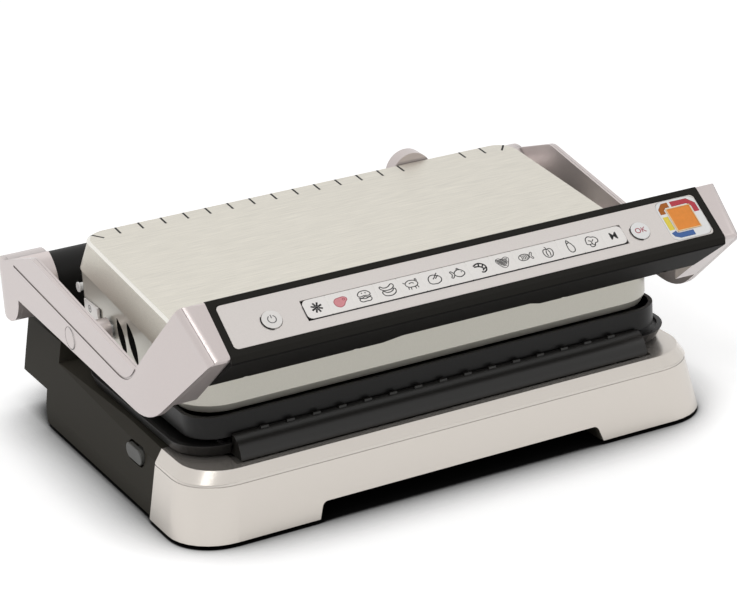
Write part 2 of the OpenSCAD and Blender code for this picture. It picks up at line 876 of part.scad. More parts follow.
module bar_bottom() {
  color(black) difference() {
    union() {
      intersection() {
        across(-bar_half, bar_half) difference() {
          bar_profile();
          bar_hollow();
        }
        translate([-far, -far, 0]) cube([2 * far, 2 * far, part_z - seat / 2]);
      }
      // pillars for the screws
      intersection() {
        bar_screw_places() translate([0, 0, -20]) cylinder(r = 5.5, h = 200);
        across(-bar_half, bar_half) bar_profile();
        translate([-far, -far, 0]) cube([2 * far, 2 * far, part_z - seat / 2]);
      }
    }
    // finger recess in the middle of the lower edge
    recess_z = part_z - bar_drop;
    along(-far, 0) polygon([[-recess_w / 2 - 16, recess_z - 14], [-recess_w / 2 - 16, recess_z],
      [-recess_w / 2, recess_z + recess_rise], [recess_w / 2, recess_z + recess_rise],
      [recess_w / 2 + 16, recess_z], [recess_w / 2 + 16, recess_z - 14]]);
    bar_screw_places() {
      translate([0, 0, -20]) cylinder(r = 3, h = 22);
      cylinder(r = 1.8, h = 60);
    }
  }
}

module bar_screw_places() {
  end_x = bar_half - 27.8;
  for (x = [-end_x, -end_x / 2, end_x / 2, end_x]) {
    translate([x, face_y + 2, part_z - 18]) children();
  }
}

module bar_screws() {
  color(bare_metal) bar_screw_places() {
    cylinder(r = 2.6, h = 1.9);
    cylinder(r = 1.2, h = 17);
  }
}

board_z = -9;

module control_board() {
  color(board_green) on_face() {
    translate([-panel_half + 14.2, strip_y - 11, board_z - 1.6]) cube([2 * panel_half - 16.4, 22, 1.6]);
    for (i = [1 : 14]) {
      translate([key_x(i) - 2.5, strip_y - 2.5, board_z - eps]) cube([5, 5, 0.9]);
    }
    for (x = [power_x, ok_x]) {
      translate([x, button_y, board_z - eps]) cylinder(r = 2.6, h = 0.9);
    }
    translate([light_x - 4, light_y - 4, board_z - eps]) cube([8, 8, 1.2]);
  }
}

module control_panel() {
  color(silver) on_face() difference() {
    translate([0, 0, panel_z - panel_t]) linear_extrude(panel_t) panel_outline(0);
    translate([0, 0, -10]) linear_extrude(20) {
      translate([strip_x, strip_y]) square([strip_w + 0.6, key_h + 1.4], center = true);
      translate([light_x, light_y]) light_outline(0.2);
      for (x = [power_x, ok_x]) {
        translate([x, button_y]) circle(r = button_r + 0.35);
      }
    }
  }
}

head_low = pocket_z + 0.1 + key_travel;
stem_low = board_z + 1 + key_travel;

module round_button(x) {
  on_face() translate([x, button_y, 0]) {
    translate([0, 0, head_low]) cylinder(r = button_r, h = 0.6 - head_low);
    translate([0, 0, stem_low]) cylinder(r = 2.6, h = head_low - stem_low + eps, $fn = 24);
  }
}

module power_button() {
  color(silver) round_button(power_x);
}

module ok_button() {
  color([0.95, 0.95, 0.95]) round_button(ok_x);
}

module program_key(i) {
  end_r = 4;
  w = key_pitch - 0.4;
  color(silver) on_face() translate([key_x(i), strip_y, 0]) {
    translate([0, 0, head_low]) linear_extrude(0.3 - head_low)
      polygon(rounded([[-w / 2, -key_h / 2], [w / 2, -key_h / 2], [w / 2, key_h / 2], [-w / 2, key_h / 2]],
        [i == 1 ? end_r : 0, i == 14 ? end_r : 0, i == 14 ? end_r : 0, i == 1 ? end_r : 0]));
    translate([-2.2, -2.2, stem_low]) cube([4.4, 4.4, head_low - stem_low + eps]);
  }
}

module indicator_ring() {
  color([0.9, 0.9, 0.9]) on_face() translate([light_x, light_y, panel_z - panel_t])
    linear_extrude(panel_t + 0.1) difference() {
      light_outline(0);
      square([lens_w + 0.4, lens_w + 0.4], center = true);
    }
}

module indicator_lens() {
  color([0.93, 0.5, 0.12]) on_face() translate([light_x, light_y, panel_z - panel_t])
    linear_extrude(panel_t + 0.3) square([lens_w, lens_w], center = true);
}

// ---- head

// frame of the steel top: its rear edge is the X axis, and the top is level
module on_lid() {
  translate([0, lid_back, lid_back_z]) rotate([lid_slope, 0, 0]) children();
}

band_h = 21;
band_front_lean = 7.5;
band_back = -0.9;
lid_front = -(lid_back - head_front) + 5;

edge_drop = 1.8;
edge_in = 2.2;

// steel top, moved in by t: a band that leans out, then a bevelled edge
module lid_form(t) {
  half = lid_top_w / 2 - t;
  front = lid_front + t;
  edge_low = -edge_drop - t / 2;
  edge_step = edge_in - t / 2;
  tapered_slab(-band_h - (t > 0 ? 1 : 0), edge_low, half + band_lean, half, front - band_front_lean, front,
    band_back - t, -t, 26 - t, 20 - t);
  tapered_slab(edge_low - eps, -t, half, half - edge_step, front, front + edge_step, -t, -t - edge_step,
    24 - t, 17 - t);
}

// place of the round housing on the rear of the lid
module sensor_place() {
  on_lid() translate([sensor_x, band_back / 2, sensor_drop])
    rotate([-90 - atan(-band_back / band_h), 0, 0]) children();
}

module lid_cover() {
  diagonal = [[lid_top_w / 2 - 5.5, -4], [lid_top_w / 2 - 13, -14]];
  color(steel) difference() {
    on_lid() difference() {
      lid_form(0);
      lid_form(sheet);
      for (i = [0 : 17]) {
        if (i != 14 && i != 15) {
          translate([(i - 8.5) * slot_pitch, -4, 0]) cube([slot_w, 10.5, 8], center = true);
        }
      }
      for (side = [0, 1]) {
        translate([0, 0, -4]) linear_extrude(8) mirror([side, 0, 0]) polygon(ribbon(diagonal, slot_w));
      }
    }
    sensor_place() cylinder(r = 4.1, h = 8, center = true);
  }
}

frame_top_g = 0.25;
ledge_z = skirt_low + 2.2;
ledge_half = head_half - 14;
latch_z = hinge_z + 1.8;
latch_y = plate_back - 13;
latch_l = 27;
latch_h = 12;
latch_travel = 7;
boss_y = plate_back + 10.5;
boss_z = hinge_z + 13.4;

module frame_outline(g) {
  rounded_rect(head_half - g, head_front + g, lid_back - 1 - g, 32 - g, 18 - g);
}

module below_lid() {
  on_lid() translate([-far, -far, -far]) cube([2 * far, 2 * far, far - band_h - frame_top_g]);
}

module leaf(l, w) {
  r = (l * l / 4 + w * w / 4) / w;
  intersection() {
    translate([0, r - w / 2]) circle(r = r, $fn = 72);
    translate([0, w / 2 - r]) circle(r = r, $fn = 72);
  }
}

module lid_frame() {
  color(silver) difference() {
    intersection() {
      translate([0, 0, skirt_low]) hull() {
        linear_extrude(eps) frame_outline(3);
        translate([0, 0, 6]) linear_extrude(100) frame_outline(0);
      }
      below_lid();
    }
    difference() {
      translate([0, 0, skirt_low - 1]) linear_extrude(120) frame_outline(wall + 3);
      // ledge that holds the reflector
      translate([0, 0, ledge_z]) linear_extrude(3) difference() {
        frame_outline(0);
        rounded_rect(ledge_half, head_front + 14, lid_back - 22, 10, 10);
      }
      // bosses round the pins
      both_sides() translate([head_half - 9, pivot_y, pivot_z]) rotate([0, 90, 0])
        cylinder(r = boss_r, h = 8);
    }
    both_sides() translate([head_half - 10, pivot_y, pivot_z]) rotate([0, 90, 0])
      cylinder(r = pivot_r + run_fit, h = 20);
    // leaf-shaped openings in front of the pin, on both sides
    both_sides() {
      across(head_half - 8, head_half + 2)
        translate([plate_back - 70, hinge_z - 2]) rotate(62) leaf(30, 12);
      across(head_half - 8, head_half + 2)
        translate([plate_back - 91, hinge_z - 1]) rotate(62) leaf(34, 13);
    }
    // channel of the latch
    translate([-head_half - 1, latch_y - latch_l / 2 - latch_travel - 1, latch_z - latch_h / 2 - 0.4])
      cube([2.5, latch_l + latch_travel + 2, latch_h + 0.8]);
    translate([-head_half - 1, latch_y - 6 - latch_travel - 0.6, latch_z - 3.4])
      cube([12, 12 + latch_travel + 1.2, 6.8]);
    translate([-head_half - 1, boss_y, boss_z]) rotate([0, 90, 0]) cylinder(r = 3.15, h = 8);
  }
}

module lid_latch() {
  color(silver) {
    translate([-head_half - 1.3, latch_y - latch_l / 2, latch_z - latch_h / 2])
      cube([2.6, latch_l, latch_h]);
    translate([-head_half, latch_y - 6, latch_z - 3]) cube([9, 12, 6]);
  }
}

module side_boss() {
  color(silver) translate([-head_half - 1.5, boss_y, boss_z]) rotate([0, 90, 0]) {
    cylinder(r = 4, h = 1.4);
    cylinder(r = 3.1, h = 8);
  }
}

sensor_x = 99.5;
sensor_drop = -11;
sensor_r = 18;

module sensor_boss() {
  color(silver) sensor_place() {
    translate([0, 0, seat]) cylinder(r = sensor_r, h = 12);
    translate([0, 0, 12 + seat - eps]) cylinder(r1 = sensor_r, r2 = sensor_r - 2.5, h = 2.5);
    translate([0, 0, -6]) cylinder(r = 4, h = 6 + seat + eps);
  }
}

upper_pan_h = 20;
upper_heater_front = 40;
upper_heater_back = 48;

module upper_reflector() {
  color(bare_metal) translate([0, 0, ledge_z - seat]) mirror([0, 0, 1]) translate([0, 0, -upper_pan_h + 1])
    pan(ledge_half - 2, head_front + 16, lid_back - 24, upper_pan_h, 4);
}

module upper_heater() {
  color(bare_metal) {
    translate([0, 0, ledge_z + 4]) heater(head_front + upper_heater_front, lid_back - upper_heater_back);
    for (x = [-1, 1], y = [head_front + upper_heater_front, lid_back - upper_heater_back]) {
      translate([x * 100 - 1, y - 3, ledge_z + 4]) cube([2, 6, upper_pan_h - 6.4]);
    }
  }
}

upper_floor_z = upper_low + 4;

module upper_plate() {
  color(black) {
    difference() {
      translate([0, 0, upper_low]) linear_extrude(upper_top - upper_low)
        rounded_rect(upper_half, upper_front, plate_back, 25, 25);
      translate([0, 0, upper_floor_z + 2.5]) linear_extrude(30)
        rounded_rect(upper_half - 3.2, upper_front + 3.2, plate_back - 3.2, 22, 22);
      translate([0, 0, upper_low - 1]) linear_extrude(upper_floor_z - upper_low + 1)
        rounded_rect(upper_half - 4, upper_front + 4, plate_back - 4, 21, 21);
    }
    mirror([0, 0, 1]) ribs(upper_front + 10, plate_back - 10, -upper_floor_z - eps,
      upper_floor_z - upper_low - rib_top_gap);
    for (side = [-1, 1]) {
      translate([side * (upper_half - 8) - 5, plate_back - lug_reach, upper_floor_z + 8]) cube([10, 20, 2]);
    }
  }
}

module upper_clips() {
  x0 = upper_half - 12;
  y0 = plate_back - lug_reach + 6;
  z0 = upper_floor_z + 6.3;
  color(bare_metal) for (side = [-1, 1]) {
    translate([side * x0 - 2.5, y0, z0]) cube([5, 8, 1.5]);
    translate([side * (x0 - 2.2) - 0.6, y0, z0]) cube([1.2, 8, ledge_z - 1.5 * seat - 1 - z0]);
  }
}

base_tub();
front_fascia();
bottom_cover();
feet();
hinge_housing();
hinge_pins();
cord_inlet();
lower_reflector();
lower_heater();
lower_plate();
lower_clips();
drip_tray();
plate_release();
release_link();
power_board();
base_screws();
left_arm();
right_arm();
left_arm_skin();
right_arm_skin();
left_pivot_cap();
right_pivot_cap();
head_pins();
bar_top();
bar_bottom();
bar_screws();
control_board();
control_panel();
power_button();
ok_button();
indicator_ring();
indicator_lens();
program_key(1);  // key_1
program_key(2);  // key_2
program_key(3);  // key_3
program_key(4);  // key_4
program_key(5);  // key_5
program_key(6);  // key_6
program_key(7);  // key_7
program_key(8);  // key_8
program_key(9);  // key_9
program_key(10);  // key_10
program_key(11);  // key_11
program_key(12);  // key_12
program_key(13);  // key_13
program_key(14);  // key_14
lid_cover();
lid_frame();
upper_reflector();
upper_heater();
upper_plate();
upper_clips();
lid_latch();
side_boss();
sensor_boss();
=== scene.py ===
import bpy
import json
import math
from mathutils import Matrix, Vector


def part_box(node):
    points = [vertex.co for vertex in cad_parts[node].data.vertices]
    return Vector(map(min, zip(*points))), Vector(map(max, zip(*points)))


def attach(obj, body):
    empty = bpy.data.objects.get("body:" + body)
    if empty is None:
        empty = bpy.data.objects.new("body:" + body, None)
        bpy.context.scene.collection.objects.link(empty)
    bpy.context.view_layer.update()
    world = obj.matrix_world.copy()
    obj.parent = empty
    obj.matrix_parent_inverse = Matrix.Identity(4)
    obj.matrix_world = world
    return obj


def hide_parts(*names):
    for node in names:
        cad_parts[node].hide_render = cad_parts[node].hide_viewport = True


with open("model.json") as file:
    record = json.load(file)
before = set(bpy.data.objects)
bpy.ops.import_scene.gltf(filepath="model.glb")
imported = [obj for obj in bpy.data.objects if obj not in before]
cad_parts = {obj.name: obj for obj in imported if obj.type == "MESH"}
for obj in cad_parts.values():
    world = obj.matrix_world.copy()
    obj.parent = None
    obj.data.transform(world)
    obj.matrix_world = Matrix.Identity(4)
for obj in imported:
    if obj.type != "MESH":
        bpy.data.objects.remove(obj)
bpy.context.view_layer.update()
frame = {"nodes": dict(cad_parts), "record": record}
nodes = frame["nodes"]
bodies = frame["record"]["behaviour"]["bodies"]
bodyOf = {node: body for body, members in bodies.items() for node in members}
slotOf = {part["node"]: part["material_slot"] for part in frame["record"]["subparts"]}
# places and the studio are in metres; roundings, and the sizes and points of prints, are in millimetres
mm = 0.001
bpy.ops.object.select_all(action="DESELECT")

# camera at the photograph's angle, in front of the left end and above it
cameraSetup = {
    "place": (-0.81764, -1.66158, 0.80019), "azimuth": -26.214, "elevation": 20.803, "roll": -3.688,
    "lens": 126.35, "sensor": 36.0,
}


def placeCamera(c):
    az, el, roll = (math.radians(c[k]) for k in ("azimuth", "elevation", "roll"))
    back = Vector((math.sin(az) * math.cos(el), -math.cos(az) * math.cos(el), math.sin(el)))
    level = Vector((math.cos(az), math.sin(az), 0))
    plumb = back.cross(level)
    right = level * math.cos(roll) + plumb * math.sin(roll)
    up = plumb * math.cos(roll) - level * math.sin(roll)
    bpy.ops.object.camera_add(location=c["place"])
    camera = bpy.context.object
    camera.matrix_world = Matrix.Translation(c["place"]) @ Matrix((right, up, back)).transposed().to_4x4()
    camera.data.lens = c["lens"]
    camera.data.sensor_width = c["sensor"]
    bpy.context.scene.camera = camera


placeCamera(cameraSetup)
print("camera placed")

# what all finishes share: the gloss of a clear coat, the depth of the grain, and where its two colours end
finishSetup = {"coatRoughness": 0.12, "reliefDepth": 0.2 * mm, "darkEnd": 0.3, "lightEnd": 0.7}


def newFinish(name, color, roughness, metallic=0.0, coat=0.0, specular=0.5):
    finish = bpy.data.materials.new(name)
    finish.use_nodes = True
    shader = finish.node_tree.nodes["Principled BSDF"]
    shader.inputs["Base Color"].default_value = (*color, 1)
    shader.inputs["Roughness"].default_value = roughness
    shader.inputs["Metallic"].default_value = metallic
    shader.inputs["Coat Weight"].default_value = coat
    shader.inputs["Coat Roughness"].default_value = finishSetup["coatRoughness"]
    shader.inputs["Specular IOR Level"].default_value = specular
    return finish


def addGrain(finish, scale, stretch=(1, 1, 1), bump=0.0, roughSpread=0.0, colorSpread=0.0, detail=3.0):
    # one noise field drives a fine relief, the gloss and a slight change of colour
    tree = finish.node_tree
    shader = tree.nodes["Principled BSDF"]
    coords = tree.nodes.new("ShaderNodeTexCoord")
    mapping = tree.nodes.new("ShaderNodeMapping")
    noise = tree.nodes.new("ShaderNodeTexNoise")
    mapping.inputs["Scale"].default_value = stretch
    noise.inputs["Scale"].default_value = scale
    noise.inputs["Detail"].default_value = detail
    tree.links.new(coords.outputs["Object"], mapping.inputs["Vector"])
    tree.links.new(mapping.outputs["Vector"], noise.inputs["Vector"])
    if bump:
        relief = tree.nodes.new("ShaderNodeBump")
        relief.inputs["Strength"].default_value = bump
        relief.inputs["Distance"].default_value = finishSetup["reliefDepth"]
        tree.links.new(noise.outputs["Fac"], relief.inputs["Height"])
        tree.links.new(relief.outputs["Normal"], shader.inputs["Normal"])
    if roughSpread:
        spread = tree.nodes.new("ShaderNodeMapRange")
        middle = shader.inputs["Roughness"].default_value
        spread.inputs["To Min"].default_value = middle - roughSpread
        spread.inputs["To Max"].default_value = middle + roughSpread
        tree.links.new(noise.outputs["Fac"], spread.inputs["Value"])
        tree.links.new(spread.outputs["Result"], shader.inputs["Roughness"])
    if colorSpread:
        ramp = tree.nodes.new("ShaderNodeValToRGB")
        base = shader.inputs["Base Color"].default_value
        dark, light = ramp.color_ramp.elements
        dark.position = finishSetup["darkEnd"]
        light.position = finishSetup["lightEnd"]
        dark.color = (*[v * (1 - colorSpread) for v in base[:3]], 1)
        light.color = (*[min(1, v * (1 + colorSpread)) for v in base[:3]], 1)
        tree.links.new(noise.outputs["Fac"], ramp.inputs["Fac"])
        tree.links.new(ramp.outputs["Color"], shader.inputs["Base Color"])
    return finish


def paintSeamShade(finish, reach=0.003, samples=8):
    # painted shade: an occlusion node darkens the base colour in grooves and parting lines, so they come out
    # darker than the open faces
    tree = finish.node_tree
    shader = tree.nodes["Principled BSDF"]
    occlusion = tree.nodes.new("ShaderNodeAmbientOcclusion")
    occlusion.samples = samples
    occlusion.inputs["Distance"].default_value = reach
    tree.links.new(shader.inputs["Base Color"].links[0].from_socket, occlusion.inputs["Color"])
    tree.links.new(occlusion.outputs["Color"], shader.inputs["Base Color"])


# one finish for each material slot of the grill
finishes = {
    "lid_steel": addGrain(
        newFinish("brushedLidSteel", (0.66, 0.63, 0.56), 0.36, metallic=0.85),
        45, (1, 70, 70), bump=0.4, roughSpread=0.08, colorSpread=0.14, detail=4),
    "silver_lacquer": addGrain(
        newFinish("silverLacquer", (0.61, 0.545, 0.53), 0.3, metallic=0.55, coat=0.2),
        900, bump=0.05, roughSpread=0.03, colorSpread=0.02),
    "tub_plastic": addGrain(
        newFinish("tubPlastic", (0.030, 0.027, 0.021), 0.6, specular=0.08),
        1500, bump=0.25, roughSpread=0.05, colorSpread=0.06),
    "black_plastic": addGrain(
        newFinish("blackPlastic", (0.008, 0.0075, 0.007), 0.5, specular=0.16),
        1500, bump=0.2, roughSpread=0.05, colorSpread=0.05),
    "bar_plastic": addGrain(
        newFinish("barPlastic", (0.012, 0.011, 0.009), 0.45, specular=0.1),
        1200, bump=0.06, roughSpread=0.04, colorSpread=0.04),
    "panel_film": addGrain(
        newFinish("panelFilm", (0.70, 0.655, 0.625), 0.36, metallic=0.35),
        900, bump=0.04, roughSpread=0.03, colorSpread=0.02),
    "white_plastic": addGrain(
        newFinish("whitePlastic", (0.86, 0.86, 0.85), 0.3),
        700, bump=0.03, roughSpread=0.03, colorSpread=0.01),
    "light_orange": addGrain(
        newFinish("lightOrange", (0.86, 0.29, 0.045), 0.35, specular=0.3),
        300, bump=0.02, roughSpread=0.03, colorSpread=0.04),
    "foot_rubber": addGrain(
        newFinish("footRubber", (0.008, 0.008, 0.008), 0.8, specular=0.1),
        1200, bump=0.3, roughSpread=0.05, colorSpread=0.05),
    "plate_coating": addGrain(
        newFinish("plateCoating", (0.009, 0.0085, 0.008), 0.36, specular=0.22),
        1400, bump=0.25, roughSpread=0.06, colorSpread=0.1),
    "bare_steel": addGrain(
        newFinish("bareSteel", (0.5, 0.5, 0.5), 0.35, metallic=1.0),
        400, (1, 8, 1), bump=0.1, roughSpread=0.05, colorSpread=0.04),
    "tube_steel": addGrain(
        newFinish("tubeSteel", (0.25, 0.24, 0.23), 0.5, metallic=1.0),
        400, bump=0.1, roughSpread=0.05, colorSpread=0.06),
    "circuit_board": addGrain(
        newFinish("circuitBoard", (0.03, 0.14, 0.06), 0.4),
        500, bump=0.1, roughSpread=0.05, colorSpread=0.1),
}
# single pieces whose finish differs a little from their slot's
ownFinishes = {
    "front_fascia": addGrain(
        newFinish("fasciaSilver", (0.655, 0.61, 0.56), 0.24, metallic=0.75, coat=0.2),
        900, bump=0.04, roughSpread=0.03, colorSpread=0.02),
    "lid_frame": addGrain(
        newFinish("frameSilver", (0.56, 0.54, 0.475), 0.34, metallic=0.45, coat=0.2),
        900, bump=0.05, roughSpread=0.03, colorSpread=0.02),
    # painted shade: the bar's underside is a darker copy of the bar's plastic, with less gloss
    "bar_bottom": addGrain(
        newFinish("barUndersideShade", (0.005, 0.0045, 0.004), 0.6, specular=0.06),
        1200, bump=0.06, roughSpread=0.04, colorSpread=0.04),
    "drip_tray": addGrain(
        newFinish("trayPlastic", (0.013, 0.012, 0.0105), 0.3, specular=0.4),
        1200, bump=0.08, roughSpread=0.04, colorSpread=0.04),
    "power_button": addGrain(
        newFinish("buttonFilm", (0.80, 0.775, 0.75), 0.4, metallic=0.1),
        900, bump=0.03, roughSpread=0.03, colorSpread=0.02),
    "lid_latch": addGrain(
        newFinish("latchSilver", (0.86, 0.83, 0.80), 0.3, metallic=0.3, coat=0.2),
        900, bump=0.04, roughSpread=0.03, colorSpread=0.02),
    "plate_release": addGrain(
        newFinish("releasePlastic", (0.065, 0.065, 0.06), 0.4, specular=0.4),
        1200, bump=0.06, roughSpread=0.04, colorSpread=0.04),
}
# painted shade in the grooves and parting lines of the silver parts
for finish in (finishes["silver_lacquer"], ownFinishes["front_fascia"], ownFinishes["lid_frame"]):
    paintSeamShade(finish)
keyCount = 14
keyFilm = addGrain(
    newFinish("keyFilm", (0.86, 0.83, 0.80), 0.4, metallic=0.1),
    900, bump=0.03, roughSpread=0.03, colorSpread=0.02)
for number in range(1, keyCount + 1):
    ownFinishes[f"key_{number}"] = keyFilm


def newInk(name, color, roughness=0.5):
    return addGrain(newFinish(name, color, roughness, specular=0.2), 800, roughSpread=0.04, colorSpread=0.04)


inks = {
    "dark": newInk("darkInk", (0.02, 0.02, 0.02)),
    # the line ink is only used for painted shade: along the key strip and round buttons, and in the lid's
    # slots
    "line": newInk("paintedShadeInk", (0.012, 0.011, 0.010)),
    "grey": newInk("greyInk", (0.16, 0.16, 0.16)),
    # the pale ink is only used for the painted highlights between the keys
    "pale": newInk("keyHighlightInk", (0.86, 0.84, 0.80)),
    "pink": newInk("pinkInk", (0.72, 0.30, 0.32)),
    "rose": newInk("roseInk", (0.42, 0.10, 0.13)),
    "red": newInk("redInk", (0.52, 0.06, 0.08)),
    "brown": newInk("brownInk", (0.42, 0.13, 0.02)),
    "yellow": newInk("yellowInk", (0.86, 0.70, 0.10)),
    "blue": newInk("blueInk", (0.07, 0.15, 0.38)),
    "cream": newInk("creamInk", (0.95, 0.72, 0.40)),
}
print("finishes ready")


def only(piece):
    bpy.ops.object.select_all(action="DESELECT")
    piece.select_set(True)
    bpy.context.view_layer.objects.active = piece


# how every moulding is finished: lengths in millimetres, angles in degrees
moulding = {
    "mergeReach": 0.01, "flatAngle": 0.5, "edgeAngle": 30, "smoothAngle": 60, "edgeSteps": 2,
    "plainRounding": 0.25,
}
# edge rounding for each moulding; the others take the plain one
edgeRounding = {
    "base_tub": 1.0, "front_fascia": 0.5, "hinge_housing": 1.2, "lid_cover": 0.3, "lid_frame": 1.2,
    "left_arm": 1.0, "right_arm": 1.0, "left_arm_skin": 1.1, "right_arm_skin": 1.1, "left_pivot_cap": 0.35,
    "right_pivot_cap": 0.35, "bar_top": 0.9, "bar_bottom": 0.9, "control_panel": 0.25, "power_button": 0.3,
    "ok_button": 0.3, "indicator_ring": 0.2, "indicator_lens": 0.5, "upper_plate": 0.9, "lower_plate": 0.8,
    "drip_tray": 0.5, "lid_latch": 0.7, "side_boss": 0.5, "sensor_boss": 0.8, "plate_release": 0.9,
}


def softCopy(node):
    # a merged copy of the moulding, with its edges rounded as the tool that made it would leave them
    source = nodes[node]
    piece = source.copy()
    piece.data = source.data.copy()
    for key in list(piece.keys()):
        del piece[key]
    piece.parent = None
    piece.matrix_world = Matrix.Identity(4)
    piece.name = node + "_look"
    bpy.context.scene.collection.objects.link(piece)
    only(piece)
    bpy.ops.object.mode_set(mode="EDIT")
    bpy.ops.mesh.select_all(action="SELECT")
    bpy.ops.mesh.remove_doubles(threshold=moulding["mergeReach"] * mm)
    bpy.ops.mesh.dissolve_limited(angle_limit=math.radians(moulding["flatAngle"]))
    bpy.ops.object.mode_set(mode="OBJECT")
    bpy.ops.object.shade_smooth_by_angle(angle=math.radians(moulding["edgeAngle"]))
    edge = piece.modifiers.new("edges", "BEVEL")
    edge.width = edgeRounding.get(node, moulding["plainRounding"]) * mm
    edge.segments = moulding["edgeSteps"]
    edge.limit_method = "ANGLE"
    edge.angle_limit = math.radians(moulding["edgeAngle"])
    edge.use_clamp_overlap = True
    bpy.ops.object.modifier_apply(modifier=edge.name)
    bpy.ops.object.shade_smooth_by_angle(angle=math.radians(moulding["smoothAngle"]))
    even = piece.modifiers.new("even", "WEIGHTED_NORMAL")
    even.keep_sharp = True
    bpy.ops.object.modifier_apply(modifier=even.name)
    piece.data.materials.clear()
    piece.data.materials.append(ownFinishes.get(node, finishes[slotOf[node]]))
    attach(piece, bodyOf[node])
    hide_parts(node)
    piece.select_set(False)
    return piece


looks = {node: softCopy(node) for node in nodes}

# painted shade: the faces inside the leaf-shaped cavities in both sides of the lid take the black plastic
# finish, which stands in for the shade in them: faces in this box and its mirror image
cavityShade = {"depth": (0.186, 0.1951), "along": (-0.022, 0.0285), "height": (0.09, 0.127)}
frameMesh = looks["lid_frame"].data
frameMesh.materials.append(finishes["black_plastic"])
for face in frameMesh.polygons:
    place = (abs(face.center.x), face.center.y, face.center.z)
    if all(low < value < high for value, (low, high) in zip(place, cavityShade.values())):
        face.material_index = 1
print("mouldings dressed")

# the tilted control face: x along the bar, y up the slope, z out of it
# its tops are the heights at which prints lie
controlFace = {
    "origin": (0, -0.1535, 0.1906), "tilt": 36.87,
    "keyTop": 0.31, "buttonTop": 0.61, "ringTop": -0.29, "highlightTop": 0.16, "shadeTop": 0.02,
}
faceTilt = Matrix.Rotation(math.radians(controlFace["tilt"]), 4, "X")
faceMatrix = Matrix.Translation(controlFace["origin"]) @ faceTilt
# thickness of patches and drawn lines, how finely curves are divided, and how bold letters are
printing = {"patch": 0.02, "line": 0.08, "curveSteps": 6, "roundSteps": 2, "letterWeight": 0.01}


def finishPrint(piece, place, ink, body, ground=faceMatrix):
    # lays a flat print on its ground, the control face if no other, and puts its place into its mesh
    x, y, z = place
    piece.matrix_world = ground @ Matrix.Translation((x * mm, y * mm, z * mm))
    only(piece)
    bpy.ops.object.transform_apply(location=True, rotation=True, scale=True)
    piece.data.materials.clear()
    piece.data.materials.append(inks[ink])
    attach(piece, body)
    piece.select_set(False)


def drawStroke(name, kind, points, width):
    # a line or a loop is drawn through its points, a bent line keeps its corners, and a fill is a patch
    curve = bpy.data.curves.new(name, "CURVE")
    curve.dimensions = "2D" if kind == "fill" else "3D"
    spline = curve.splines.new("POLY" if kind == "bent" else "BEZIER")
    if kind == "bent":
        spline.points.add(len(points) - 1)
        for point, (x, y) in zip(spline.points, points):
            point.co = (x * mm, y * mm, 0, 1)
    else:
        spline.bezier_points.add(len(points) - 1)
        for point, (x, y) in zip(spline.bezier_points, points):
            point.co = (x * mm, y * mm, 0)
            point.handle_left_type = point.handle_right_type = "AUTO"
    spline.use_cyclic_u = kind in ("loop", "fill")
    curve.resolution_u = printing["curveSteps"]
    if kind == "fill":
        curve.fill_mode = "BOTH"
        curve.extrude = printing["patch"] * mm
    else:
        curve.bevel_depth = width / 2 * mm
        curve.bevel_resolution = printing["roundSteps"]
        curve.use_fill_caps = True
    stroke = bpy.data.objects.new(name, curve)
    bpy.context.scene.collection.objects.link(stroke)
    only(stroke)
    bpy.ops.object.convert(target="MESH")
    if kind != "fill":
        flatness = min(1, printing["line"] / width)
        bpy.ops.object.mode_set(mode="EDIT")
        bpy.ops.mesh.select_all(action="SELECT")
        bpy.ops.transform.resize(value=(1, 1, flatness), center_override=(0, 0, 0))
        bpy.ops.object.mode_set(mode="OBJECT")
    return bpy.context.object


def strokePrint(name, strokes, width, place, ink, body, ground=faceMatrix):
    # each stroke is its kind and its points; together they make one piece
    parts = [drawStroke(f"{name}{i}", kind, points, width) for i, (kind, points) in enumerate(strokes)]
    bpy.ops.object.select_all(action="DESELECT")
    for part in parts:
        part.select_set(True)
    bpy.context.view_layer.objects.active = parts[0]
    if len(parts) > 1:
        bpy.ops.object.join()
    piece = bpy.context.object
    piece.name = name
    finishPrint(piece, place, ink, body, ground)


def letterPrint(name, word, height, place, ink, body):
    bpy.ops.object.text_add()
    piece = bpy.context.object
    piece.name = name
    piece.data.body = word
    piece.data.align_x = "CENTER"
    piece.data.align_y = "CENTER"
    piece.data.size = height * mm
    piece.data.extrude = printing["patch"] * mm
    piece.data.offset = printing["letterWeight"] * height * mm
    only(piece)
    bpy.ops.object.convert(target="MESH")
    finishPrint(bpy.context.object, place, ink, body)


def ring(radius, start=0, end=360, count=12):
    # points on a circle, or on an arc with both its ends
    ends = 0 if end - start >= 360 else 1
    angles = [math.radians(start + (end - start) * i / count) for i in range(count + ends)]
    return [(radius * math.cos(a), radius * math.sin(a)) for a in angles]


def spokes(inner, outer, start, count):
    # short straight lines that stand out from a middle
    near = ring(inner, start, start + 360, count)
    far = ring(outer, start, start + 360, count)
    return [("bent", [a, b]) for a, b in zip(near, far)]


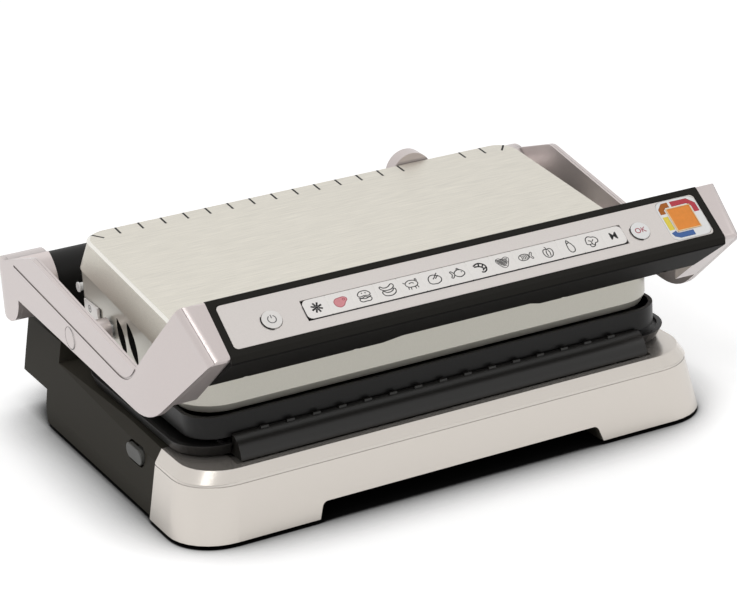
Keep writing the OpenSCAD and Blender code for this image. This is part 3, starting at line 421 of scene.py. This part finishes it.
# pictures on the keys, round the middle of each key: line width and strokes
keyPictures = {
    # a star of eight rays
    1: (1.1, spokes(1.3, 4.3, 22.5, 8) + [("fill", ring(1.2))]),
    # a round sandwich
    3: (0.55, [
        ("loop", [(-4.6, 0.7), (-3.9, 3.0), (0, 4.4), (3.9, 3.0), (4.6, 0.7), (0, 0.4)]),
        ("line", [(-4.8, -0.6), (-2.4, -1.3), (0, -0.5), (2.4, -1.3), (4.8, -0.6)]),
        ("loop", [(-4.4, -2.0), (0, -2.1), (4.4, -2.0), (3.6, -4.0), (0, -4.3), (-3.6, -4.0)]),
        ("line", [(-1.6, 2.4), (-0.8, 2.8)]),
        ("line", [(1.0, 2.6), (1.9, 2.2)])]),
    # two sausages
    4: (0.6, [
        ("loop", [(-5.2, 4.0), (-2.6, 2.6), (0.8, 2.8), (4.4, 4.6), (5.4, 3.4), (4.2, 1.4), (0, 0.2),
                  (-4.0, 1.2)]),
        ("loop", [(-4.2, -0.2), (-1.0, -1.6), (3.0, -1.0), (5.0, 0.6), (5.6, -1.4), (3.4, -3.8),
                  (-0.6, -4.4), (-4.0, -3.0)])]),
    # a pig
    5: (0.55, [
        ("loop", [(-4.4, 1.2), (-2.4, 3.2), (1.0, 3.6), (4.2, 2.2), (5.0, 0.4), (3.8, -1.2), (0, -1.9),
                  (-3.4, -1.0)]),
        ("line", [(-4.6, 1.8), (-5.8, 2.8)]),
        ("line", [(3.4, 2.8), (4.6, 4.2), (4.8, 2.2)]),
        ("line", [(-3.0, -1.4), (-3.2, -3.6)]),
        ("line", [(-1.2, -1.9), (-1.4, -3.9)]),
        ("line", [(2.2, -1.7), (2.2, -3.9)]),
        ("line", [(4.0, -1.2), (4.4, -3.4)]),
        ("line", [(-1.6, 1.2), (0.6, 1.6), (2.2, 0.8)])]),
    # a roast bird
    6: (0.6, [
        ("loop", [(-5.0, -0.4), (-3.8, 2.4), (-0.8, 3.6), (2.2, 2.6), (4.6, 1.0), (4.9, -1.2), (2.6, -3.4),
                  (-1.6, -3.8), (-4.4, -2.6)]),
        ("line", [(-1.2, 0.2), (0.4, 1.6), (2.0, 3.6), (3.2, 4.6)]),
        ("line", [(0.6, 0.2), (2.0, 1.4), (3.6, 2.6)])]),
    # a fish
    7: (0.6, [
        ("loop", [(-2.6, 0), (-0.4, 2.6), (2.6, 2.8), (5.0, 0.8), (5.4, -0.4), (3.4, -2.4), (0.4, -2.8)]),
        ("line", [(-2.4, 0.4), (-5.2, 2.6), (-4.4, 0), (-5.4, -2.6), (-2.4, -0.6)]),
        ("line", [(0.2, 2.6), (0.8, 4.2), (2.4, 3.0)]),
        ("fill", [(3.2, 1.2), (3.7, 0.8), (3.2, 0.4), (2.7, 0.8)])]),
    # a shrimp
    8: (0.9, [
        ("line", [(-4.8, 2.6), (-1.6, 4.0), (1.8, 3.4), (4.2, 1.0), (4.0, -2.0), (1.6, -4.0)]),
        ("line", [(-4.4, 1.8), (-1.4, 1.6), (0.8, 0.8), (2.0, -0.8), (1.2, -2.4)]),
        ("line", [(-0.8, 1.6), (-0.2, 3.6)]),
        ("line", [(1.2, 0.4), (2.8, 2.2)]),
        ("line", [(1.9, -1.0), (4.0, -0.6)]),
        ("line", [(1.4, -4.0), (-0.4, -3.2)])]),
    # a slice with crossing lines
    9: (0.4, [
        ("loop", [(-5.0, 2.6), (-3.0, 4.0), (0, 3.2), (2.8, 4.2), (5.2, 2.8), (4.4, 0), (0.4, -4.4),
                  (-3.8, -0.8)])]
        + [("line", [(-4.6 + 0.9 * k, 3.2 - 0.05 * k), (-3.4 + 0.9 * k, -0.6 - 0.5 * min(k, 8 - k))])
           for k in range(9)]
        + [("line", [(-4.4 + 0.5 * k, 2.8 - 1.1 * k), (4.6 - 0.5 * k, 2.8 - 1.1 * k)]) for k in range(6)]),
    # a whole fish with scales
    10: (0.5, [
        ("loop", [(-5.4, 0.2), (-4.2, 2.0), (-1.0, 2.8), (2.0, 2.0), (3.2, 0.4), (2.0, -1.4), (-1.4, -2.4),
                  (-4.4, -1.6)]),
        ("line", [(3.0, 0.6), (5.6, 3.0), (4.8, 0.2), (5.6, -2.2), (3.0, 0.0)])]
        + [("line", [(-3.4 + 1.3 * k, 2.0), (-2.8 + 1.3 * k, 0.2), (-3.4 + 1.3 * k, -1.6)])
           for k in range(5)]),
    # a pepper
    11: (0.6, [
        ("loop", [(-3.4, 1.4), (-1.6, 2.6), (0, 2.0), (1.8, 2.6), (3.6, 1.2), (3.2, -2.6), (1.2, -4.4),
                  (-1.4, -4.4), (-3.2, -2.6)]),
        ("line", [(0, 2.0), (-0.4, 3.6), (-1.2, 4.4)]),
        ("line", [(-0.8, 1.4), (-1.4, -1.0), (-0.9, -3.6)]),
        ("line", [(0.8, 1.4), (1.4, -1.0), (0.9, -3.6)])]),
    # an aubergine
    12: (0.6, [
        ("loop", [(-1.4, 2.6), (0.6, 3.2), (2.2, 1.2), (3.0, -2.2), (1.8, -4.6), (-0.4, -4.8), (-1.8, -2.6),
                  (-1.9, 0.2)]),
        ("line", [(-1.6, 2.8), (-1.2, 4.6), (-0.4, 5.2), (0.4, 4.4), (0.8, 3.2)]),
        ("line", [(-0.4, 5.0), (-0.8, 5.8)])]),
    # a head of broccoli
    13: (0.6, [
        ("loop", [(-4.6, 0.6), (-3.8, 3.2), (-1.4, 4.4), (0.8, 3.6), (3.0, 3.2), (4.8, 1.2), (4.4, -1.2),
                  (2.2, -1.9), (0.6, -4.2), (-1.8, -4.4), (-2.8, -2.4), (-4.6, -1.6)]),
        ("line", [(-2.6, 1.2), (-0.8, 0.2), (-0.6, -2.2)]),
        ("line", [(1.6, 1.4), (0.2, 0.0)]),
        ("line", [(-2.8, -2.4), (-0.6, -2.2), (0.8, -3.4)])]),
}
# where the keys, the two round buttons and the light stand on the control face
faceRows = {
    "keyStart": -133.5, "keyPitch": 18.314, "keyY": -25.0, "keyHalf": 7.9,
    "powerX": -158.5, "okX": 136.2, "buttonY": -25.8, "lightX": 174.8, "lightY": -23.4,
}
pictureWeight = 1.25


def keyEdgeX(number):
    # the right edge of a key, and the left end of the row for number 0
    return faceRows["keyStart"] + number * faceRows["keyPitch"]


def keyPlace(number):
    return (keyEdgeX(number - 0.5), faceRows["keyY"], controlFace["keyTop"])


for number, (width, strokes) in keyPictures.items():
    strokePrint(f"key_{number}_picture", strokes, pictureWeight * width, keyPlace(number), "dark",
                f"key_{number}_body")
# the key for steaks is the only coloured one
steak = {
    "outline": [(-5.0, -0.6), (-3.8, 2.4), (0, 3.4), (4.0, 3.2), (5.2, 1.4), (3.4, -0.8), (0.8, -3.6),
                (-2.6, -3.8)],
    "bone": [(2.6, 2.2), (3.6, 1.4), (2.8, 0.8), (1.8, 1.6)],
    "patchWidth": 0.5, "lineWidth": 0.55,
}
strokePrint("key_2_patch", [("fill", steak["outline"])], steak["patchWidth"], keyPlace(2), "pink",
            "key_2_body")
strokePrint("key_2_picture", [("loop", steak["outline"]), ("loop", steak["bone"])], steak["lineWidth"],
            keyPlace(2), "rose", "key_2_body")
letterHeight = {"key": 8.5, "ok": 6.2}
letterPrint("key_14_letter", "M", letterHeight["key"], keyPlace(14), "dark", "key_14_body")

powerPlace = (faceRows["powerX"], faceRows["buttonY"], controlFace["buttonTop"])
okPlace = (faceRows["okX"], faceRows["buttonY"], controlFace["buttonTop"])
powerSymbol = {"radius": 3.0, "start": 118, "end": 422, "points": 16, "stem": (0.8, 3.6), "width": 0.75}
powerArc = ring(powerSymbol["radius"], powerSymbol["start"], powerSymbol["end"], powerSymbol["points"])
powerStem = [(0, y) for y in powerSymbol["stem"]]
strokePrint("power_symbol", [("line", powerArc), ("line", powerStem)], powerSymbol["width"], powerPlace,
            "grey", "power")
letterPrint("ok_letters", "OK", letterHeight["ok"], okPlace, "rose", "ok")

# painted highlight: pale lines between the keys stand in for the light caught on the key edges
keyHighlight = {"inset": 0.4, "width": 0.7}
keyHighlightReach = faceRows["keyHalf"] - keyHighlight["inset"]
lineEnds = (faceRows["keyY"] - keyHighlightReach, faceRows["keyY"] + keyHighlightReach)
keyHighlightLines = [("line", [(keyEdgeX(i), y) for y in lineEnds]) for i in range(1, keyCount)]
strokePrint("key_edge_highlights", keyHighlightLines, keyHighlight["width"], (0, 0, controlFace["highlightTop"]), "pale", "handle")

# shade along the left and lower edge of the key strip and of the two round buttons
stripShade = {"left": -0.1, "right": -1.5, "up": 3.5, "corner": (2.6, 5.2), "width": 0.9}
buttonShade = {"radius": 7.75, "start": 150, "end": 262, "points": 8, "width": 1.0}
stripLeft = keyEdgeX(0) + stripShade["left"]
stripRight = keyEdgeX(keyCount) + stripShade["right"]
stripBottom = faceRows["keyY"] - faceRows["keyHalf"]
cornerX, cornerY = stripShade["corner"]
stripPath = [(stripLeft, faceRows["keyY"] + stripShade["up"]), (stripLeft, faceRows["keyY"] - cornerY),
             (stripLeft + cornerX, stripBottom), (stripRight, stripBottom)]
strokePrint("key_strip_shade", [("bent", stripPath)], stripShade["width"], (0, 0, controlFace["shadeTop"]),
            "line", "handle")
arc = ring(buttonShade["radius"], buttonShade["start"], buttonShade["end"], buttonShade["points"])
for name, x in (("power", faceRows["powerX"]), ("ok", faceRows["okX"])):
    strokePrint(f"{name}_shade", [("line", arc)], buttonShade["width"],
                (x, faceRows["buttonY"], controlFace["shadeTop"]), "line", "handle")

# coloured bands round the orange light, and its pale outline
lightBands = {
    "brown": [(-13.6, 6.4), (-13.6, 10.4), (-10.4, 13.6), (-6.0, 13.6)],
    "red": [(-4.0, 13.6), (9.6, 13.6), (13.6, 9.6), (13.6, 3.0)],
    "yellow": [(-13.6, 4.0), (-13.6, -8.0)],
    "blue": [(-13.6, -9.8), (-12.8, -12.2), (-9.8, -13.6), (2.4, -13.6)],
}
light = {"bandWidth": 4.6, "half": 10.0, "outlineWidth": 1.0, "outlineRise": 0.5}
lightX, lightY, lightZ = faceRows["lightX"], faceRows["lightY"], controlFace["ringTop"]
for color, path in lightBands.items():
    strokePrint(f"light_band_{color}", [("bent", path)], light["bandWidth"], (lightX, lightY, lightZ), color,
                "handle")
half = light["half"]
lightSquare = [(-half, -half), (-half, half), (half, half), (half, -half), (-half, -half)]
strokePrint("light_outline", [("bent", lightSquare)], light["outlineWidth"],
            (lightX, lightY, lightZ + light["outlineRise"]), "cream", "handle")
print("control face printed")

# painted shade: dark strips laid over the slots along the rear edge of the steel top, and a little beyond
# their front ends, stand in for the shade inside them; in its own plane: x along the edge, y towards the
# hinge
lidTop = {
    "edge": (0, 0.1055, 0.1635), "slope": 6.7, "slotCount": 18, "slotPitch": 18.859, "plainPlaces": (14, 15),
    "slotShadeWidth": 1.7, "slotShadeTop": 0.02, "slotShadeEnds": (-2.3, -14.0),
    "cornerSlotShade": [(181.1, -6.5), (174.5, -15.3)],
}
lidMatrix = Matrix.Translation(lidTop["edge"]) @ Matrix.Rotation(math.radians(lidTop["slope"]), 4, "X")
slotShadeLines = []
for i in range(lidTop["slotCount"]):
    slotX = (i - (lidTop["slotCount"] - 1) / 2) * lidTop["slotPitch"]
    if i not in lidTop["plainPlaces"]:
        slotShadeLines.append(("bent", [(slotX, y) for y in lidTop["slotShadeEnds"]]))
for side in (-1, 1):
    slotShadeLines.append(("bent", [(side * x, y) for x, y in lidTop["cornerSlotShade"]]))

# the pressed edge of the steel top takes a glossier steel, whose lighter colour is a painted highlight along
# the edge: faces just below its plane that look upwards
edgeHighlight = {"depth": (-1.95 * mm, -0.05 * mm), "upwards": 0.2}
lidMesh = looks["lid_cover"].data
lidMesh.materials.append(addGrain(
    newFinish("highlightedSteelEdge", (0.90, 0.88, 0.82), 0.22, metallic=0.7),
    45, (1, 20, 20), bump=0.1, roughSpread=0.04, colorSpread=0.03))
toLid = lidMatrix.inverted()
for face in lidMesh.polygons:
    depth = (toLid @ face.center).z
    upwards = (toLid.to_3x3() @ face.normal).z
    if edgeHighlight["depth"][0] < depth < edgeHighlight["depth"][1] and upwards > edgeHighlight["upwards"]:
        face.material_index = 1
strokePrint("lid_slot_shade", slotShadeLines, lidTop["slotShadeWidth"], (0, 0, lidTop["slotShadeTop"]), "line", "head",
            lidMatrix)

# ring-shaped gaps round the pivot caps: the arms flare, so the rings lean with them
pivotRing = {
    "place": (0.038, 0.1095), "capRadius": 8.6, "radius": 8.73, "lean": 1.97, "points": 24, "width": 0.5,
}
sideways = Matrix.Rotation(math.radians(90), 4, "Y")
lean = math.radians(pivotRing["lean"])
for side, name in ((-1, "left"), (1, "right")):
    low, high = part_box(f"{name}_pivot_cap")
    outer = low[0] if side < 0 else high[0]
    outer -= side * pivotRing["capRadius"] * mm * math.tan(lean)
    middle = Matrix.Translation((outer, *pivotRing["place"]))
    ground = middle @ Matrix.Rotation(side * lean, 4, "Z") @ sideways
    strokePrint(f"{name}_pivot_ring", [("loop", ring(pivotRing["radius"], count=pivotRing["points"]))],
                pivotRing["width"], (0, 0, 0), "grey", "handle", ground)

# the mark on the latch is a cross in a circle
latchMark = {"place": (-0.19685, 0.0765, 0.1135), "radius": 2.6, "cross": 1.0, "width": 0.8}
cross = latchMark["cross"]
markStrokes = [("loop", ring(latchMark["radius"])), ("line", [(-cross, 0), (cross, 0)]),
               ("line", [(0, -cross), (0, cross)])]
strokePrint("latch_mark", markStrokes, latchMark["width"], (0, 0, 0), "grey", "latch",
            Matrix.Translation(latchMark["place"]) @ sideways)
print("lid and arms marked")

# pale floor that keeps the shadow, white room, three soft lamps
studio = {
    "floorSize": 14, "floorDrop": 0.2 * mm, "floorColor": 0.9, "floorGlow": 0.45, "floorRoughness": 0.9,
    "floorSpecular": 0.1, "shadeReach": 0.085, "shadeSamples": 32, "shadeEnds": (0.48, 0.9),
    "roomLight": 0.5, "roomSeen": 1.0, "aim": (0, 0, 0.08),
    "lamps": [
        {"name": "keyLamp", "place": (-1.5, -1.1, 2.0), "size": 1.1, "power": 18},
        {"name": "fillLamp", "place": (1.8, -1.0, 1.4), "size": 1.4, "power": 5},
        {"name": "backLamp", "place": (0.4, 1.0, 2.4), "size": 1.6, "power": 4},
    ],
}


def stageSurface(name, size, place):
    bpy.ops.mesh.primitive_plane_add(size=size, location=place)
    surface = bpy.context.object
    surface.name = name
    return surface


def combined(tree, operation, first, second):
    # puts a value together with a second one, which is a socket or a number
    step = tree.nodes.new("ShaderNodeMath")
    step.operation = operation
    tree.links.new(first, step.inputs[0])
    if isinstance(second, float):
        step.inputs[1].default_value = second
    else:
        tree.links.new(second, step.inputs[1])
    return step.outputs[0]


def seenDirectly(tree):
    # 1 for rays that come from the camera, from glass or from gloss, 0 for the others
    rays = tree.nodes.new("ShaderNodeLightPath").outputs
    glassOrCamera = combined(tree, "MAXIMUM", rays["Is Camera Ray"], rays["Is Transmission Ray"])
    return combined(tree, "MAXIMUM", glassOrCamera, rays["Is Glossy Ray"])


def floorFinish():
    # painted shadow: an occlusion node darkens the floor's colour and glow where the grill shuts out the
    # room
    finish = bpy.data.materials.new("paleFloor")
    finish.use_nodes = True
    tree = finish.node_tree
    shader = tree.nodes["Principled BSDF"]
    shader.inputs["Roughness"].default_value = studio["floorRoughness"]
    shader.inputs["Specular IOR Level"].default_value = studio["floorSpecular"]
    shader.inputs["Emission Color"].default_value = (1, 1, 1, 1)
    shade = tree.nodes.new("ShaderNodeAmbientOcclusion")
    shade.samples = studio["shadeSamples"]
    shade.inputs["Distance"].default_value = studio["shadeReach"]
    paintedShadow = tree.nodes.new("ShaderNodeMapRange")
    paintedShadow.inputs["From Min"].default_value, paintedShadow.inputs["From Max"].default_value = studio["shadeEnds"]
    tree.links.new(shade.outputs["AO"], paintedShadow.inputs["Value"])
    color = combined(tree, "MULTIPLY", paintedShadow.outputs["Result"], studio["floorColor"])
    glow = combined(tree, "MULTIPLY", paintedShadow.outputs["Result"], studio["floorGlow"])
    tree.links.new(color, shader.inputs["Base Color"])
    tree.links.new(combined(tree, "MULTIPLY", glow, seenDirectly(tree)), shader.inputs["Emission Strength"])
    return finish


def whiteRoom():
    # brighter where it is seen than in the light that it gives
    room = bpy.data.worlds.new("studio")
    room.use_nodes = True
    tree = room.node_tree
    background = tree.nodes["Background"]
    background.inputs["Color"].default_value = (1, 1, 1, 1)
    strength = tree.nodes.new("ShaderNodeMapRange")
    strength.inputs["To Min"].default_value = studio["roomLight"]
    strength.inputs["To Max"].default_value = studio["roomSeen"]
    tree.links.new(seenDirectly(tree), strength.inputs["Value"])
    tree.links.new(strength.outputs["Result"], background.inputs["Strength"])
    return room


floor = stageSurface("floor", studio["floorSize"], (0, 0, -studio["floorDrop"]))
floor.data.materials.append(floorFinish())
bpy.context.scene.world = whiteRoom()
for lamp in studio["lamps"]:
    bpy.ops.object.light_add(type="AREA", location=lamp["place"])
    source = bpy.context.object
    source.name = lamp["name"]
    source.data.size = lamp["size"]
    source.data.energy = lamp["power"]
    sight = Vector(studio["aim"]) - Vector(lamp["place"])
    source.rotation_euler = sight.to_track_quat("-Z", "Y").to_euler()
bpy.context.scene.view_settings.view_transform = "Standard"
print("studio lit")
